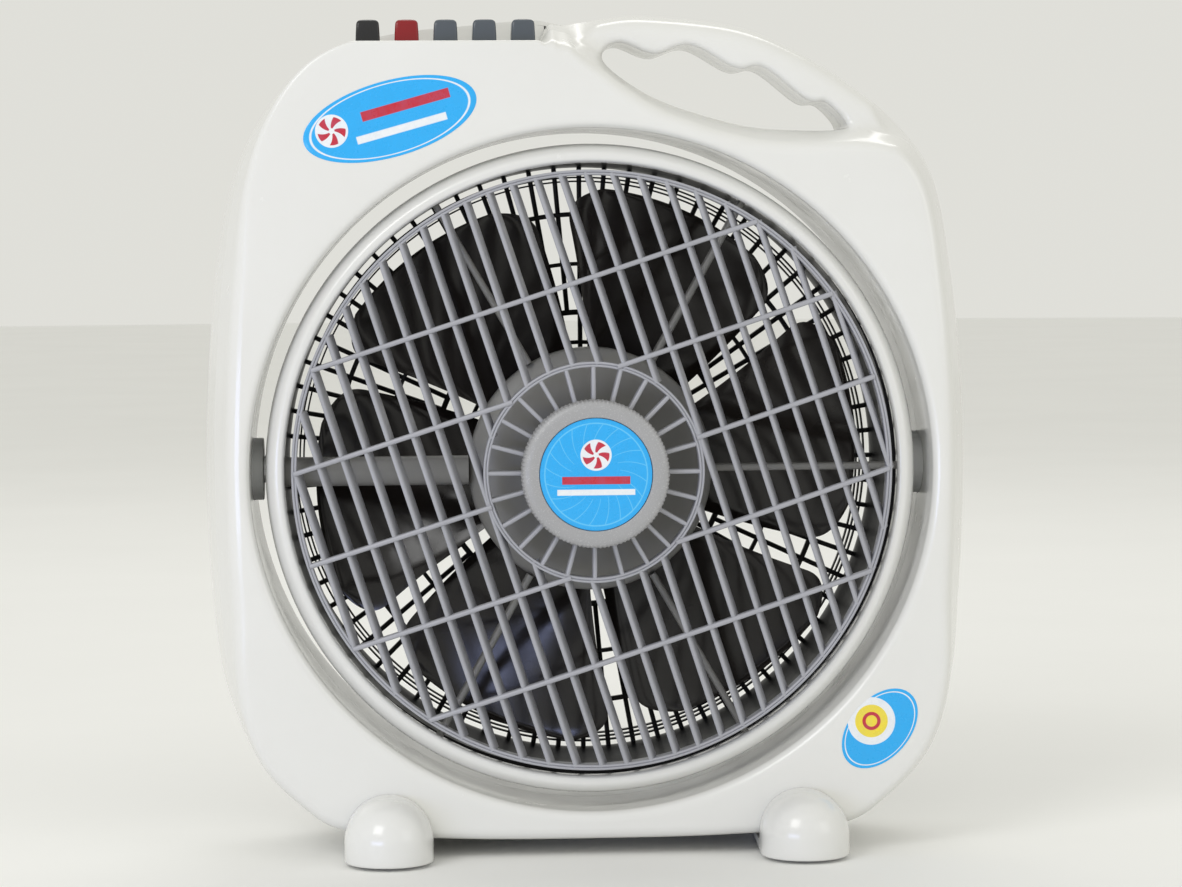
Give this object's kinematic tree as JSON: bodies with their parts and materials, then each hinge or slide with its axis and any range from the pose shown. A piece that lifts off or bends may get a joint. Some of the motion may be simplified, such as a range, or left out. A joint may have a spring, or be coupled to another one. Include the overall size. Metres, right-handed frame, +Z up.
{
  "type": "box fan",
  "caption": "Box fan: white case with a scalloped carry handle, push keys, a tilting drum, a turning slatted louvre with a hub knob, and an impeller behind.",
  "frame": {"origin": "centre of the bounding box's bottom face, on the floor under the fan's middle", "axes": "+Z up, the louvre faces -Y, +X to the right as seen from the front"},
  "size_m": [0.4043, 0.1796, 0.4393],
  "materials": {
    "ivory_shell": "glossy ivory white moulded plastic",
    "grey_plastic": "satin mid grey moulded plastic",
    "grey_pivot": "satin grey plastic",
    "key_black": "glossy black plastic",
    "key_red": "glossy dark red plastic",
    "key_slate": "glossy slate grey plastic",
    "guard_black": "semi-gloss black plastic",
    "blade_smoke": "very glossy smoked plastic",
    "badge_blue": "printed blue disc under a clear face",
    "steel": "plain steel",
    "lamination": "stacked steel laminations",
    "copper": "enamelled copper wire",
    "aluminium": "die-cast",
    "rubber": "matt black rubber",
    "black_plastic": "matt black plastic"
  },
  "bodies": {
    "case": {"case_front": "ivory_shell", "case_rear": "ivory_shell", "case_screw_1": "steel", "case_screw_2": "steel", "case_screw_3": "steel", "case_screw_4": "steel", "foot_left": "ivory_shell", "foot_right": "ivory_shell", "foot_pad_front_left": "rubber", "foot_pad_front_right": "rubber", "foot_pad_rear_left": "rubber", "foot_pad_rear_right": "rubber", "switch_body": "black_plastic", "capacitor": "black_plastic", "cord_gland": "rubber", "pivot_bush_left": "grey_pivot", "pivot_bush_right": "grey_pivot"},
    "drum": {"drum_bezel": "ivory_shell", "rear_guard": "guard_black", "motor_cover": "guard_black", "pivot_pin_left": "steel", "pivot_pin_right": "steel", "spider_hub": "grey_plastic", "spider_arm_1": "grey_plastic", "spider_arm_2": "grey_plastic", "spider_arm_3": "grey_plastic", "spider_arm_4": "grey_plastic", "spider_arm_5": "grey_plastic", "spider_arm_6": "grey_plastic", "louvre_motor": "steel", "motor_front_bell": "aluminium", "motor_rear_bell": "aluminium", "stator_core": "lamination", "stator_coil_front": "copper", "stator_coil_rear": "copper", "motor_screw_1": "steel", "motor_screw_2": "steel", "motor_screw_3": "steel", "motor_screw_4": "steel"},
    "impeller": {"impeller": "blade_smoke", "motor_shaft": "steel", "rotor": "lamination", "impeller_nut": "key_slate"},
    "louvre": {"louvre": "grey_plastic", "louvre_shaft": "steel"},
    "knob": {"knob": "grey_plastic", "knob_badge": "badge_blue"},
    "key_swing": {"key_swing": "key_black"},
    "key_off": {"key_off": "key_red"},
    "key_low": {"key_low": "key_slate"},
    "key_medium": {"key_medium": "key_slate"},
    "key_high": {"key_high": "key_slate"}
  },
  "joints": [
    {"name": "drum_tilt", "type": "hinge", "parent": "case", "child": "drum", "pos_m": [0, 0, 0.2016], "axis": [-1, 0, 0], "range_deg": [-30, 90]},
    {"name": "impeller_spin", "type": "hinge", "parent": "drum", "child": "impeller", "pos_m": [0, 0, 0.2016], "axis": [0, -1, 0], "continuous": true},
    {"name": "louvre_spin", "type": "hinge", "parent": "drum", "child": "louvre", "pos_m": [0, 0, 0.2016], "axis": [0, -1, 0], "continuous": true},
    {"name": "knob_loosen", "type": "hinge", "parent": "louvre", "child": "knob", "pos_m": [0, 0, 0.2016], "axis": [0, -1, 0], "range_deg": [0, 360]},
    {"name": "key_swing_press", "type": "slide", "parent": "case", "child": "key_swing", "axis": [0, 0, -1], "range_m": [0, 0.004], "stiffness_N_per_m": 300, "springref_m": -0.002},
    {"name": "key_off_press", "type": "slide", "parent": "case", "child": "key_off", "axis": [0, 0, -1], "range_m": [0, 0.004], "stiffness_N_per_m": 300, "springref_m": -0.002},
    {"name": "key_low_press", "type": "slide", "parent": "case", "child": "key_low", "axis": [0, 0, -1], "range_m": [0, 0.004], "stiffness_N_per_m": 300, "springref_m": -0.002},
    {"name": "key_medium_press", "type": "slide", "parent": "case", "child": "key_medium", "axis": [0, 0, -1], "range_m": [0, 0.004], "stiffness_N_per_m": 300, "springref_m": -0.002},
    {"name": "key_high_press", "type": "slide", "parent": "case", "child": "key_high", "axis": [0, 0, -1], "range_m": [0, 0.004], "stiffness_N_per_m": 300, "springref_m": -0.002}
  ]
}
